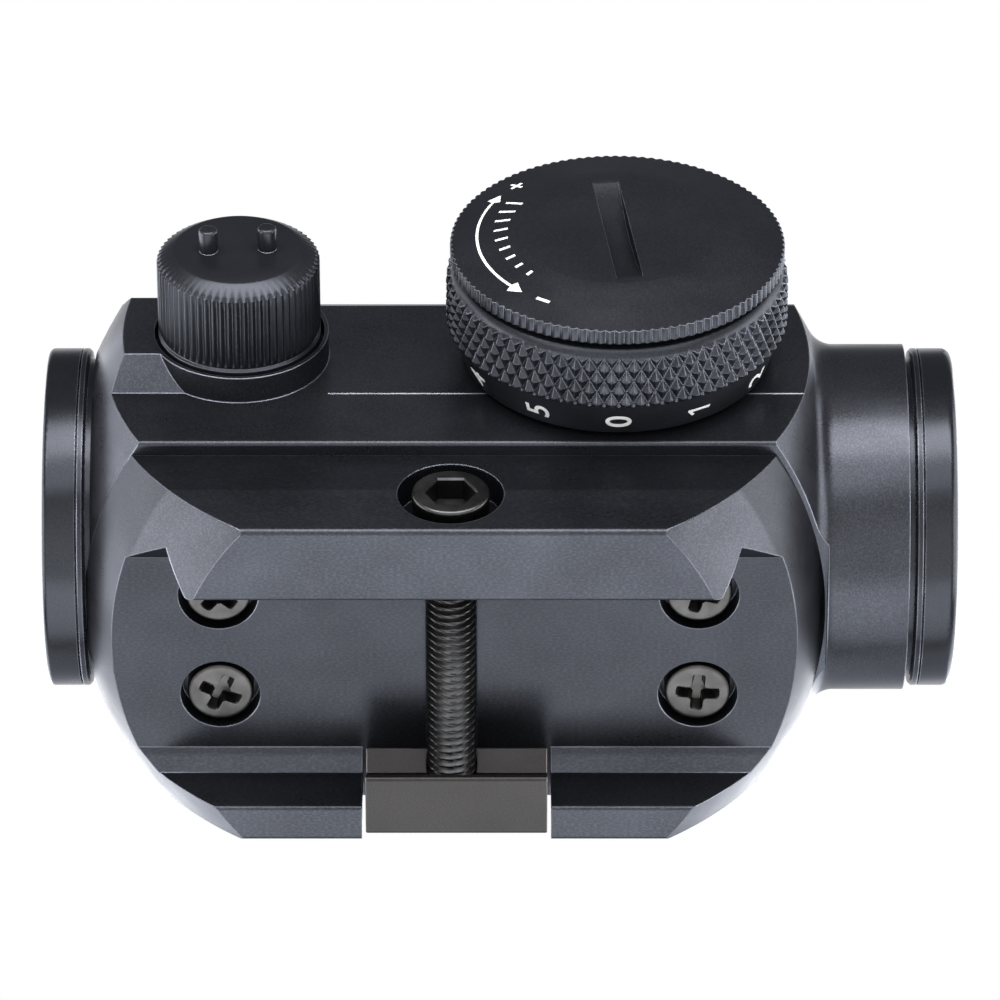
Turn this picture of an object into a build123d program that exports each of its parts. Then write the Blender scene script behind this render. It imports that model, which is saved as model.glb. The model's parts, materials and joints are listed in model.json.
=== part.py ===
from build123d import *
import math
import os

# Micro red dot sight on a clamp-on rail base.
# Row frame: origin on the rail seat at mid length, +Y towards the target, +X the dial side, +Z up.
# All sizes in millimetres.

# ---- driving sizes ----
# shared clearances
running = 0.05                # radial, for a shaft in a bearing
thread_gap = 0.02             # radial, for a screwed joint in one body
face_gap = 0.05               # between faces of pieces that move
# optical line
half_length = 36.8            # mid length to the outer face of either end ring
bore_r = 11.6                 # main bore of the housing
window_step = 0.5             # the counterbore for window, gasket and ring is this much larger
window_thickness = 1.8
gasket_thickness = 0.6
# housing shape
side_wall = 4.2               # bore to the side flats
under_wall = 1.4              # bore to the joint with the base
crown_rise = 1.6              # rounded top stands this much outside the flats
housing_edge_r = 0.35         # rounding of the lower long edges
ball_behind = 3.0             # end sphere's rear pole, behind the housing's rear face
ball_inside = 3.8             # end sphere's front pole, inside the housing's front face
front_tube_wall = 2.04        # metal round the front window
cove_foot = 1.15              # cove's height where it leaves the sphere
cove_length = 1.72
cove_hollow = 0.18
cove_overlap = 3.0            # front tube's root inside the housing
front_notch = 0.14            # between the base's front end and the front tube
scribe_depth = 0.05           # fine line along the side flat
scribe_width = 0.12
# bosses and turrets
turret_inset = 11.9           # turret centres from the housing's rear face
boss_rise = 2.3               # windage boss above the side flat
side_boss_low = -5.8          # windage boss edges, from the optical axis
side_boss_high = 7.2
boss_chamfer = 2.3
top_boss_rise = 0.8           # elevation boss stands this much higher than the windage boss
pocket_depth = 1.7            # boss face to pocket floor
boss_rim = 0.35               # rim of metal round the pocket
# rail base
base_top = 4.5                # rail seat to the joint with the housing
rail_half = 10.75             # half width of the groove at the V
rail_flank = 2.9              # rail seat to the V's apex
hook_reach = 2.85             # jaw's hook under the rail
hook_lip = 0.55               # flat lip below the hook
jaw_wall = 3.85               # V to the side face below the dial
relief_wall = 3.33            # wall of the fixed parts on the clamp side
relief_chamfer = 1.49
base_mid_x = -0.65            # middle of the base's end sphere and of its screws
base_ball_extra = 0.3         # base's end sphere over the housing's
base_front_inset = 0.5        # base's front end is cut this much shorter
ring_clearance = 0.1          # base to the rear ring's flange
base_edge_r = 0.5             # rounding of the outer lower edges
jaw_edge_r = 0.35             # rounding of the edges beside the groove
# clamp
clamp_open = 1.42             # jaw's distance from its closed place
clamp_length = 14.6
clamp_before_bolt = 6.9       # clamp's rear end to the bolt
clamp_side_gap = 0.3
clamp_set_back = 0.65         # clamp's outer face inside the base's
clamp_top_gap = 0.06
clamp_edge = 0.35
# cross bolt
bolt_y = -3.9
bolt_z = -1.0
bolt_r = 2.0
bolt_set_back = 1.25          # bolt's end inside the clamp's outer face
bolt_end_chamfer = 0.35
bolt_head_rim = 1.1           # head stands this much outside the thread
bolt_head_height = 2.8
bolt_head_proud = 0.25
bolt_head_round = 0.18
bolt_bore_clearance = 1.12    # counterbore round the head
bolt_slot_clearance = 0.25
socket_across = 3.5
socket_depth = 1.9
# base screws
screw_pitch_y = 38.4
screw_mid_y = -3.3
screw_pitch_x = 9.6
screw_r = 1.5
screw_hole_clearance = 0.1
screw_head_rim = 1.15
screw_head_height = 1.8
screw_head_round = 0.3
screw_bore_clearance = 0.55
screw_bore_depth = 2.0
screw_grip = 1.9              # thread in the housing
cross_width = 0.75
cross_span = 3.0
cross_depth = 1.1
# end rings
ring_length = 3.9             # end ring outside the housing
ring_spigot = 1.9             # end ring's thread inside the housing
ring_wall = 1.7               # outer face to the spigot
ring_neck_depth = 0.85
ring_neck = 0.5
ring_flange = 0.6
ring_bevel = 0.2
ring_groove_depth = 0.55
ring_groove = 0.14
ring_lip = 1.4                # end face, from outer edge to mouth
ring_shoulder = 1.6           # window is held by this much
ring_step_r = 0.7
ring_step = 0.9
ring_mouth_depth = 2.6
front_ring_round = 0.8
rear_ring_round = 0.45
# gimballed inner tube
swing_room = 1.4              # between inner tube and bore
tube_wall = 0.7
tube_rear_gap = 2.6           # tube ends to the windows
tube_front_gap = 2.1
pivot_inset = 4.5             # gimbal from the tube's front end
pivot_width = 2.4
pivot_gap = 0.15
pivot_stud_r = 0.5
stud_tip = 0.7                # studs reach this far into the housing
doublet_inset = 6.1           # lens seat from the tube's front end
doublet_rear_edge = 2.4
doublet_front_edge = 1.6
doublet_curve_r = 60.0
doublet_lip = 0.6
doublet_lip_width = 0.8
lock_ring_width = 1.2
led_inset = 7.0               # emitter board from the tube's rear end
led_board_thickness = 0.6
led_board_height = 2.6
led_holder_length = 3.0
led_holder_height = 2.4
led_r = 0.5
led_height = 1.5              # emitter's centre from the tube's wall
# adjusters
bush_r = 5.05
bush_step = 0.55              # thread into the housing is this much smaller
bush_wall = 1.0
bush_floor = 1.4
bush_height = 5.5
bush_end_gap = 0.4            # bush end to the bore
drum_rim = 0.65               # drum head inside the bush's outer edge
drum_head = 1.3
key_clearance = 0.1
key_floor = 0.4
pin_r = 1.5
pin_length_above_seat = 3.3
peg_r = 0.75
peg_height = 2.0
peg_round = 0.2
peg_spacing = 4.7
peg_turn = 4.0                # degrees, as the caps stop when tight
cap_wall = 1.5
cap_clearance = 0.3           # pocket round a cap
cap_height = 9.3
cap_foot_gap = 0.1
cap_top_chamfer = 1.4
cap_top_drop = 0.7
cap_roof = 1.5
cap_seal_r = 0.33
cap_seal_lip = 0.4            # cap's foot outside its seal
cap_seal_room = 0.7
click_ball_r = 0.5
click_floor = 2.2
click_spring_r = 0.36
click_wire_r = 0.1
click_spring_turns = 5
# springs
spring_turns = 3
return_spring_r = 1.1
return_wire_r = 0.15
spring_hole_r = 1.6
spring_hole_depth = 1.5       # return spring's hole in the bore
# dial
dial_y = 9.4
dial_gap = 0.5                # side flat to the dial
dial_floor_gap = 1.6          # side flat to the dial's floor
dial_floor = 1.2
dial_skirt = 3.0
dial_skirt_flare = 1.0
dial_step = 0.4               # knurled band outside the skirt
dial_step_rise = 0.1
dial_knurl = 4.7
dial_bevel = 0.6
dial_bevel_r = 0.75
dial_cup_wall = 1.35
dial_stops = 12
dimple_r = 0.45
dimple_depth = 0.2
board_r = 10.0
board_clearance = 0.2
board_thickness = 0.8
board_recess = 1.3
post_r = 3.0
post_clearance = 0.1
shoulder_r = 2.0
shoulder_head_r = 3.4
shoulder_head = 0.95
shoulder_slot = 0.8
shoulder_thread = 2.4
washer_height = 0.35
washer_clearance = 0.1
detent_r = 0.75
detent_depth = 2.8
detent_spring_r = 0.5
detent_wire_r = 0.12
wiper_r = 8.5
wiper_thickness = 0.3
wiper_path_r = 6.0
finger_width = 0.8
finger_length = 1.0
# battery
battery_r = 10.0
battery_thickness = 3.2
battery_foot = 1.0            # negative pole inside the rim
battery_clearance = 0.1
seat_floor = 1.7
seat_wall = 1.0
seat_wall_height = 4.0
seat_hole_gap = 0.4           # round the shoulder screw's head
contact_thickness = 0.15
cover_gap = 0.55              # dial to cover
cover_inset = 0.35            # cover's edge inside the dial's
cover_edge = 1.3
cover_height = 2.55
cover_slope = 5.3             # cone from edge to the flat top
cover_spigot = 2.4
cover_spigot_wall = 0.8
cover_roof = 0.3
cover_contact = 0.2           # thickness of the contact under the cover
cover_seal_r = 0.22
slot_length = 14.6
slot_width = 2.1
slot_depth = 1.3
slot_turn = 7.0               # degrees off upright
# lead
lead_r = 0.3
lead_groove_r = 0.45
lead_bend_r = 1.4
lead_drop = 4.0               # lead runs this much below the axis
lead_groove_depth = 0.3

# ---- sizes that follow ----
axis_height = base_top + under_wall + bore_r
housing_end = half_length - ring_length
spigot_start = housing_end - ring_spigot
gasket_start = spigot_start - gasket_thickness
window_seat = gasket_start - window_thickness
window_bore_r = bore_r + window_step
front_tube_r = window_bore_r + front_tube_wall
ring_r = window_bore_r + ring_wall
ring_bore_r = window_bore_r - ring_shoulder
ring_mouth_r = ring_r - ring_lip
flat_x = bore_r + side_wall
barrel_r = flat_x + crown_rise
ball_r = housing_end + (ball_behind - ball_inside) / 2
ball_y = -(ball_behind + ball_inside) / 2
cap_r = bush_r + cap_wall
pocket_r = cap_r + cap_clearance
turret_y = turret_inset - housing_end
side_boss_x = flat_x + boss_rise
top_boss_z = side_boss_x + top_boss_rise
windage_seat = side_boss_x - pocket_depth
elevation_seat = top_boss_z - pocket_depth
jaw_depth = rail_flank + hook_reach + hook_lip
rail_flat_half = rail_half - rail_flank
hook_tip_x = rail_half - hook_reach
base_dial_x = rail_half + jaw_wall
relief_x = -(rail_half + clamp_open)
base_clamp_x = relief_x - relief_wall
clamp_outer_x = base_clamp_x + clamp_set_back
clamp_y0 = bolt_y - clamp_before_bolt
clamp_side_y = (clamp_y0 - clamp_side_gap, clamp_y0 + clamp_length + clamp_side_gap)
bolt_end_x = clamp_outer_x + bolt_set_back
bolt_head_r = bolt_r + bolt_head_rim
bolt_head_top = base_dial_x + bolt_head_proud
bolt_head_seat = bolt_head_top - bolt_head_height
bolt_bore_r = bolt_head_r + bolt_bore_clearance
screw_head_r = screw_r + screw_head_rim
screw_bore_r = screw_head_r + screw_bore_clearance
tube_r = bore_r - swing_room
tube_bore_r = tube_r - tube_wall
tube_front = window_seat - tube_front_gap
tube_rear = tube_rear_gap - window_seat
pivot_y = tube_front - pivot_inset
doublet_r = tube_bore_r - running
doublet_seat = tube_front - doublet_inset
doublet_front_end = doublet_seat + doublet_rear_edge + doublet_front_edge
led_y = tube_rear + led_inset
bush_thread_r = bush_r - bush_step
bush_bore_r = bush_thread_r - bush_wall
drum_head_r = bush_r - drum_rim
click_r = (bush_bore_r + bush_r) / 2
cap_bore_r = bush_r + running * 2
dial_cup_r = battery_r + seat_wall
dial_skirt_r = dial_cup_r + dial_cup_wall
dial_skirt_top_r = dial_skirt_r + dial_skirt_flare
dial_r = dial_skirt_top_r + dial_step
dial_top_r = dial_r - dial_bevel_r
detent_circle = (dial_cup_r + dial_skirt_r) / 2
dial_base_x = flat_x + dial_gap
dial_knurl_x = dial_base_x + dial_skirt
dial_knurl_top_x = dial_knurl_x + dial_knurl
dial_top_x = dial_knurl_top_x + dial_bevel
dial_floor_x = flat_x + dial_floor_gap
board_x = flat_x - board_recess
washer_x = dial_floor_x + dial_floor
shoulder_top = washer_x + washer_height
battery_x = washer_x + seat_floor
battery_top = battery_x + battery_thickness
cover_x = dial_top_x + cover_gap
cover_top_x = cover_x + cover_height
cover_r = dial_r - cover_inset
cover_flat_r = cover_r - cover_slope
beyond = 4 * half_length      # longer than anything, for cutters that pass right through

# ---- frames: local +Z is the turning axis of what is made in them ----
optical = Pos(0, 0, axis_height) * Rot(-90, 0, 0)
windage = Pos(0, turret_y, axis_height) * Rot(0, 90, 0)
elevation = Pos(0, turret_y, axis_height)
dial = Pos(0, dial_y, axis_height) * Rot(0, 90, 0)
cross = Pos(0, bolt_y, bolt_z) * Rot(0, 90, 0)


# ---- shapes used again and again ----
def slab(x0, x1, y0, y1, z0, z1):
    """Block between two corners."""
    return Pos((x0 + x1) / 2, (y0 + y1) / 2, (z0 + z1) / 2) * Box(x1 - x0, y1 - y0, z1 - z0)


def turned(*points):
    """Turn a closed outline of (radius, height) points about +Z."""
    outline = Polyline(*[(r, 0, h) for r, h in points], close=True)
    return revolve(make_face(outline), Axis.Z, 360)


def disc(radius, low, high):
    """Round disc or rod along +Z."""
    return Pos(0, 0, (low + high) / 2) * Cylinder(radius, high - low)


def tube(inner, outer, low, high):
    """Plain ring or tube along +Z."""
    return turned((inner, low), (outer, low), (outer, high), (inner, high))


def seal_ring(mean_r, height, section_r):
    """Round-section ring."""
    return Pos(0, 0, height) * Torus(mean_r, section_r)


def coil(mean_r, wire_r, low, high, turns):
    """Compression spring between two heights, wire centres inside them."""
    rise = high - low - 2 * wire_r
    helix = Pos(0, 0, low + wire_r) * Helix(rise / turns, rise, mean_r)
    section = Plane(origin=helix @ 0, z_dir=helix % 0) * Circle(wire_r)
    return sweep(section, path=helix)


def outline_along_y(points, y0, y1):
    """Extrude a closed outline of (x, z) points along +Y."""
    face = make_face(Polyline(*[(x, y0, z) for x, z in points], close=True))
    return extrude(face, amount=y1 - y0, dir=(0, 1, 0))


def end_ball():
    """Sphere that both ends of the housing are turned to."""
    return Pos(0, ball_y, axis_height) * Sphere(ball_r)


def base_ball(inset):
    """Sphere that the ends of the base are turned to."""
    return Pos(base_mid_x, ball_y - inset, axis_height) * Sphere(ball_r + base_ball_extra)


# ---- housing ----
def housing_core():
    """Rounded top, flat sides and flat bottom, turned to the sphere at both ends."""
    top = optical * disc(barrel_r, -beyond, beyond)
    top = top & slab(-flat_x, flat_x, -half_length, half_length, axis_height, beyond)
    bottom = slab(-flat_x, flat_x, -half_length, half_length, base_top, axis_height + 1)
    low_edges = bottom.edges().filter_by(Axis.Y).group_by(Axis.Z)[0]
    bottom = fillet(low_edges, housing_edge_r)
    return (top + bottom) & end_ball()


def front_tube():
    """Plain tube at the front with a cove that runs out of the sphere."""
    foot_r = front_tube_r + cove_foot
    foot_y = ball_y + math.sqrt(ball_r ** 2 - foot_r ** 2)
    cove_y = foot_y + cove_length
    root_y = foot_y - cove_overlap
    mid = ((foot_r + front_tube_r) / 2 - cove_hollow, (foot_y + cove_y) / 2 - cove_hollow)
    outline = Polyline((foot_r, 0, foot_y), (foot_r, 0, root_y), (bore_r, 0, root_y))
    outline += Polyline((bore_r, 0, root_y), (bore_r, 0, housing_end), (front_tube_r, 0, housing_end),
                        (front_tube_r, 0, cove_y))
    outline += ThreePointArc((front_tube_r, 0, cove_y), (mid[0], 0, mid[1]), (foot_r, 0, foot_y))
    body = optical * revolve(make_face(outline), Axis.Z, 360)
    base_ball_r = ball_r + base_ball_extra
    base_front = ball_y - base_front_inset + math.sqrt(base_ball_r ** 2 - (axis_height - base_top) ** 2)
    under = slab(-flat_x, flat_x, 0, base_front + front_notch, -jaw_depth, base_top)
    return body - under


def boss_outline(low, high, reach):
    """Chamfered block from the rear of the housing to the turret, local +Z outwards, local X across."""
    points = [(low, 0), (low, reach - boss_chamfer), (low + boss_chamfer, reach),
              (high - boss_chamfer, reach), (high, reach - boss_chamfer), (high, 0)]
    face = make_face(Polyline(*[(x, -half_length, z) for x, z in points], close=True))
    return extrude(face, amount=half_length, dir=(0, 1, 0))


def turret_boss(low, high, reach):
    """Block plus the round rim that surrounds the cap."""
    rim = disc(pocket_r + boss_rim, (bore_r + flat_x) / 2, reach)
    return boss_outline(low, high, reach) + rim


def turret_cuts(seat, reach):
    """Cap pocket and threaded hole for the bush."""
    pocket = disc(pocket_r, seat, reach + cap_r)
    hole = disc(bush_thread_r + thread_gap, tube_bore_r, seat)
    return pocket + hole


def lead_path():
    """Route of the lead: along a groove in the bore, then out to the switch board."""
    run_x = math.sqrt((bore_r + lead_groove_depth) ** 2 - lead_drop ** 2)
    run_z = axis_height - lead_drop
    end_y = dial_y - (post_r + shoulder_r) - lead_groove_r
    points = [(run_x, turret_y + pocket_r, run_z), (run_x, end_y, run_z), (board_x, end_y, run_z)]
    return FilletPolyline(*points, radius=lead_bend_r)


def lead_solid(radius):
    """Round wire or round groove along the lead's route."""
    path = lead_path()
    section = Plane(origin=path @ 0, z_dir=path % 0) * Circle(radius)
    return sweep(section, path=path)


def make_housing():
    """Main casting with all bores."""
    body = housing_core() + front_tube()
    side = windage * turret_boss(-side_boss_high, -side_boss_low, side_boss_x)
    top = elevation * turret_boss(-side_boss_high, side_boss_high, top_boss_z)
    body = body + ((side + top) & end_ball())
    body -= optical * disc(bore_r, -beyond, beyond)
    body -= optical * disc(window_bore_r, window_seat, half_length)
    body -= optical * disc(window_bore_r, -half_length, -window_seat)
    body -= slab(-beyond, beyond, -beyond, -housing_end, -beyond, beyond)
    body -= windage * turret_cuts(windage_seat, side_boss_x)
    body -= elevation * turret_cuts(elevation_seat, top_boss_z)
    body -= dial * tube(post_r, board_r + board_clearance, board_x, flat_x + boss_rise)
    body -= dial * disc(screw_r + thread_gap, flat_x - shoulder_thread - board_clearance, flat_x)
    body -= detent_place() * disc(detent_r + running, flat_x - detent_depth, flat_x)
    for x, y in screw_places():
        body -= Pos(x, y, base_top) * disc(screw_r + thread_gap, 0, screw_grip)
    for up in (-1, 1):
        stud = Pos(0, pivot_y, axis_height) * Rot(90 - 90 * up, 0, 0)
        body -= stud * disc(pivot_stud_r + running, tube_r, bore_r + stud_tip + running)
    body -= lead_solid(lead_groove_r)
    body -= return_place() * disc(spring_hole_r, tube_r, bore_r + spring_hole_depth)
    body -= scribe_line()
    return body


def scribe_line():
    """Fine line along the side flat, level with the foot of the windage boss."""
    height = axis_height + side_boss_low
    rear = turret_y + pocket_r + boss_rim
    return slab(flat_x - scribe_depth, flat_x, rear, half_length, height - scribe_width, height)


def screw_places():
    """Centres of the four base screws."""
    return [(base_mid_x + sx * screw_pitch_x / 2, screw_mid_y + sy * screw_pitch_y / 2)
            for sy in (-1, 1) for sx in (-1, 1)]


def detent_place():
    """Frame of the dial's click ball, local +Z outwards."""
    return Pos(0, dial_y - detent_circle, axis_height) * Rot(0, 90, 0)


def return_place():
    """Frame of the return spring, which pushes the inner tube up and towards the dial side."""
    return Pos(0, turret_y, axis_height) * Rot(0, -135, 0)


# ---- rail base ----
def groove_outline():
    """Rail groove: V dovetail on the dial side, square relief on the clamp side."""
    low = -jaw_depth - hook_lip
    return [(rail_flat_half, 0), (rail_half, -rail_flank), (hook_tip_x, -rail_flank - hook_reach),
            (hook_tip_x, low), (relief_x, low), (relief_x, -relief_chamfer), (relief_x + relief_chamfer, 0)]


def make_base():
    """Block with the rail groove, clamp gap, bolt slot and screw holes."""
    rear = ring_clearance - housing_end - ring_neck
    block = slab(base_clamp_x, base_dial_x, rear, half_length, -jaw_depth, base_top)
    block -= outline_along_y(groove_outline(), -half_length, half_length)
    low_edges = block.edges().filter_by(Axis.Y).group_by(Axis.Z)[0].sort_by(Axis.X)
    block = fillet([low_edges[0], low_edges[-1]], base_edge_r)
    low_edges = block.edges().filter_by(Axis.Y).group_by(Axis.Z)[0].sort_by(Axis.X)
    block = fillet(low_edges[1:-1], jaw_edge_r)
    block = block & base_ball(0) & base_ball(base_front_inset)
    block -= slab(-beyond, 0, clamp_side_y[0], clamp_side_y[1], -beyond, 0)
    block -= cross * disc(bolt_r + bolt_slot_clearance, -beyond, base_dial_x)
    block -= cross * disc(bolt_bore_r, bolt_head_seat, beyond)
    for x, y in screw_places():
        block -= Pos(x, y, 0) * disc(screw_bore_r, -1, screw_bore_depth)
        block -= Pos(x, y, 0) * disc(screw_r + screw_hole_clearance, 0, base_top + 1)
    return block


def make_clamp():
    """Sliding jaw that hooks under the rail."""
    top = -clamp_top_gap
    low = -jaw_depth
    tip_x = relief_x + hook_reach
    outline = [(relief_x + relief_chamfer + top, top), (clamp_outer_x, top), (clamp_outer_x, low),
               (tip_x, low), (tip_x, low + hook_lip), (relief_x, -rail_flank), (relief_x, -relief_chamfer)]
    jaw = outline_along_y(outline, clamp_y0, clamp_y0 + clamp_length)
    outer = jaw.edges().filter_by(Axis.Z).group_by(Axis.X)[0]
    lower = jaw.edges().filter_by(Axis.Y).filter_by_position(Axis.Z, low - face_gap, low + face_gap)
    jaw = fillet(outer + lower, clamp_edge)
    return jaw - cross * disc(bolt_r + running, -beyond, 0)


def make_bolt():
    """Cross bolt with a hexagon socket."""
    seat = bolt_head_seat + thread_gap
    body = disc(bolt_r, bolt_end_x, bolt_head_top - socket_depth)
    body = chamfer(body.edges().group_by(Axis.Z)[0], bolt_end_chamfer)
    head = disc(bolt_head_r, seat, bolt_head_top)
    head = fillet(head.edges().group_by(Axis.Z)[-1], bolt_head_round)
    hexagon = RegularPolygon(socket_across / math.sqrt(3), 6)
    hexagon = Pos(0, 0, bolt_head_top - socket_depth) * extrude(hexagon, bolt_head_height)
    return cross * (body + head - hexagon)


def make_base_screws():
    """Four screws with cross recesses, heads down in their counterbores."""
    head_low = screw_bore_depth - screw_head_height
    blade = Box(cross_width, cross_span, 2 * cross_depth)
    recess = blade + Rot(0, 0, 90) * blade
    screws = []
    for x, y in screw_places():
        head = disc(screw_head_r, head_low, screw_bore_depth)
        head = fillet(head.edges().group_by(Axis.Z)[0], screw_head_round)
        shank = disc(screw_r, screw_bore_depth, base_top + screw_grip - screw_hole_clearance)
        screws.append(Pos(x, y, 0) * (head + shank - Pos(0, 0, head_low) * recess))
    return Compound(children=screws)


# ---- end rings and windows ----
def make_ring(rounding):
    """End ring with neck, flange, hairline groove and a dished mouth, turned about +Z."""
    flange_start = housing_end + ring_neck
    groove = flange_start + ring_flange
    band = groove + ring_groove
    spigot_r = window_bore_r - thread_gap
    neck_r = ring_r - ring_neck_depth
    ring = turned((ring_bore_r, spigot_start), (spigot_r, spigot_start), (spigot_r, housing_end),
                  (neck_r, housing_end), (neck_r, flange_start), (ring_r - ring_bevel, flange_start),
                  (ring_r, flange_start + ring_bevel), (ring_r, groove), (ring_r - ring_groove_depth, groove),
                  (ring_r - ring_groove_depth, band), (ring_r, band), (ring_r, half_length),
                  (ring_mouth_r, half_length), (ring_mouth_r - ring_step_r, half_length - ring_step),
                  (ring_bore_r, half_length - ring_mouth_depth))
    outer = ring.edges().filter_by(GeomType.CIRCLE).group_by(Axis.Z)[-1].sort_by(SortBy.RADIUS)[-1]
    return fillet(outer, rounding)


def window():
    """Flat protective window."""
    return disc(window_bore_r - running, window_seat, gasket_start)


def gasket():
    """Flat rubber gasket between window and ring."""
    return tube(ring_bore_r, window_bore_r - running, gasket_start, spigot_start)


# ---- inner tube on its gimbal ----
def make_pivot_ring():
    """Gimbal ring: studs along Z in the housing, studs along X in the inner tube."""
    inner = tube_r + pivot_gap
    outer = bore_r - pivot_gap
    ring = optical * tube(inner, outer, pivot_y - pivot_width / 2, pivot_y + pivot_width / 2)
    for sign in (-1, 1):
        up = Pos(0, pivot_y, axis_height) * Rot(90 - 90 * sign, 0, 0)
        side = Pos(0, pivot_y, axis_height) * Rot(0, 90 * sign, 0)
        ring += up * disc(pivot_stud_r, outer - pivot_stud_r, bore_r + stud_tip)
        ring += side * disc(pivot_stud_r, tube_bore_r + running, inner + pivot_stud_r)
    return ring


def make_inner_tube():
    """Tube that carries the lens and the emitter."""
    lip_r = tube_bore_r - doublet_lip
    lip_rear = doublet_seat - doublet_lip_width
    body = turned((tube_bore_r, tube_rear), (tube_r, tube_rear), (tube_r, tube_front),
                  (tube_bore_r, tube_front), (tube_bore_r, doublet_seat), (lip_r, doublet_seat),
                  (lip_r, lip_rear), (tube_bore_r, lip_rear - doublet_lip))
    hole = Pos(0, pivot_y, axis_height) * Rot(0, 90, 0) * disc(pivot_stud_r + running, -beyond, beyond)
    return optical * body - hole


def doublet_split():
    """Sphere of the cemented surface."""
    edge = doublet_seat + doublet_rear_edge
    return Pos(0, 0, edge - math.sqrt(doublet_curve_r ** 2 - doublet_r ** 2)) * Sphere(doublet_curve_r)


def doublet_blank():
    """Plain lens disc between the seat and the front edge."""
    return disc(doublet_r, doublet_seat, doublet_front_end)


def make_doublet_rear():
    """Lens half towards the eye."""
    return optical * (doublet_blank() & doublet_split())


def make_doublet_front():
    """Lens half towards the target."""
    return optical * (doublet_blank() - doublet_split())


def make_lock_ring():
    """Screwed ring in front of the lens."""
    lip_r = tube_bore_r - doublet_lip
    front = doublet_front_end + lock_ring_width
    return optical * tube(lip_r, tube_bore_r - thread_gap, doublet_front_end, front)


def led_block(y0, length, height):
    """Small block on the inner tube's wall at the clamp side, standing inwards by its height."""
    half_width = height * 0.75
    block = slab(-tube_bore_r, height - tube_bore_r, y0, y0 + length, axis_height - half_width,
                 axis_height + half_width)
    return block & (optical * disc(tube_bore_r, -beyond, beyond))


def make_led_emitter():
    """Tiny lens-topped emitter on the board."""
    front = led_y + led_board_thickness
    body = Pos(led_height - tube_bore_r, front, axis_height) * Rot(-90, 0, 0) * disc(led_r, 0, led_r)
    return fillet(body.edges().group_by(Axis.Y)[-1], led_r * 0.6)


# ---- adjusters, made with local +Z outwards from the optical axis ----
def make_bush(seat):
    """Screwed bush that the cap screws on."""
    pin_hole_r = pin_r + running
    low = bore_r + bush_end_gap
    floor = seat + bush_floor
    top = seat + bush_height
    body = turned((pin_hole_r, low), (bush_thread_r, low), (bush_thread_r, seat), (bush_r, seat),
                  (bush_r, top), (bush_bore_r, top), (bush_bore_r, floor), (pin_hole_r, floor))
    return body - Pos(0, click_r, 0) * disc(click_ball_r + running, seat + click_floor, top)


def make_drum(seat):
    """Click drum with two key holes."""
    pin_hole_r = pin_r + running
    low = seat + bush_floor + face_gap
    head = seat + bush_height + face_gap
    body = turned((pin_hole_r, low), (bush_bore_r - running, low), (bush_bore_r - running, head),
                  (drum_head_r, head), (drum_head_r, head + drum_head), (pin_hole_r, head + drum_head))
    for place in peg_places():
        body -= Pos(*place, 0) * disc(peg_r + key_clearance, head + key_floor - face_gap, head + 2 * drum_head)
    return body


def peg_places():
    """Centres of the two pegs, and of the key holes they fit."""
    turn = math.radians(peg_turn)
    half = peg_spacing / 2
    return [(-s * half * math.sin(turn), s * half * math.cos(turn)) for s in (-1, 1)]


def make_pin(seat):
    """Threaded pin that pushes the inner tube."""
    return disc(pin_r, tube_r + face_gap, seat + pin_length_above_seat)


def make_cap(seat):
    """Turret cap with two pegs for turning the drum."""
    foot = seat + cap_foot_gap
    top = foot + cap_height
    roof = top - cap_roof
    seal_top = foot + cap_seal_room
    seal_outer = cap_r - cap_seal_lip
    body = turned((cap_bore_r, seal_top), (cap_bore_r, roof), (0, roof), (0, top),
                  (cap_r - cap_top_chamfer, top), (cap_r, top - cap_top_drop), (cap_r, foot),
                  (seal_outer, foot), (seal_outer, seal_top))
    for place in peg_places():
        peg = Pos(*place, 0) * disc(peg_r, top - cap_roof / 2, top + peg_height)
        body += fillet(peg.edges().group_by(Axis.Z)[-1], peg_round)
    return body


def make_cap_seal(seat):
    """Seal under a turret cap."""
    mean_r = (cap_bore_r + cap_r - cap_seal_lip + running) / 2
    return seal_ring(mean_r, seat + cap_foot_gap + cap_seal_r - thread_gap, cap_seal_r)


def click_ball(seat):
    """Ball that clicks under the drum's head."""
    return Pos(0, click_r, seat + bush_height - click_ball_r) * Sphere(click_ball_r)


def click_spring(seat):
    """Spring below the click ball."""
    top = seat + bush_height - 2 * click_ball_r
    return Pos(0, click_r, 0) * coil(click_spring_r, click_wire_r, seat + click_floor, top, click_spring_turns)


# ---- dial, in the dial's frame ----
def make_dial_ring():
    """Brightness dial: skirt, knurled band, bevel, cup for the battery and a bearing boss."""
    hole_r = shoulder_r + running
    boss_end = flat_x + face_gap
    body = turned((dial_cup_r, dial_base_x), (dial_skirt_r, dial_base_x), (dial_skirt_top_r, dial_knurl_x),
                  (dial_r, dial_knurl_x + dial_step_rise), (dial_r, dial_knurl_top_x), (dial_top_r, dial_top_x),
                  (dial_cup_r, dial_top_x), (dial_cup_r, washer_x), (hole_r, washer_x), (hole_r, boss_end),
                  (post_r, boss_end), (post_r, dial_floor_x), (dial_cup_r, dial_floor_x))
    for step in range(dial_stops):
        dimple = Rot(0, 0, step * 360 / dial_stops) * Pos(0, detent_circle, dial_base_x)
        body -= dimple * disc(dimple_r, -dimple_depth, dimple_depth)
    return body


def make_dial_pivot():
    """Shoulder screw that the dial turns on."""
    end = flat_x - shoulder_thread
    top = shoulder_top + shoulder_head
    body = turned((0, end), (screw_r, end), (screw_r, flat_x), (shoulder_r, flat_x), (shoulder_r, shoulder_top),
                  (shoulder_head_r, shoulder_top), (shoulder_head_r, top), (0, top))
    return body - Pos(0, 0, top) * Box(shoulder_slot, 2 * shoulder_head_r, shoulder_slot)


def make_wave_washer():
    """Spring washer under the shoulder screw's head."""
    return tube(shoulder_r + washer_clearance, shoulder_head_r - washer_clearance, washer_x + face_gap,
                shoulder_top)


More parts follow.
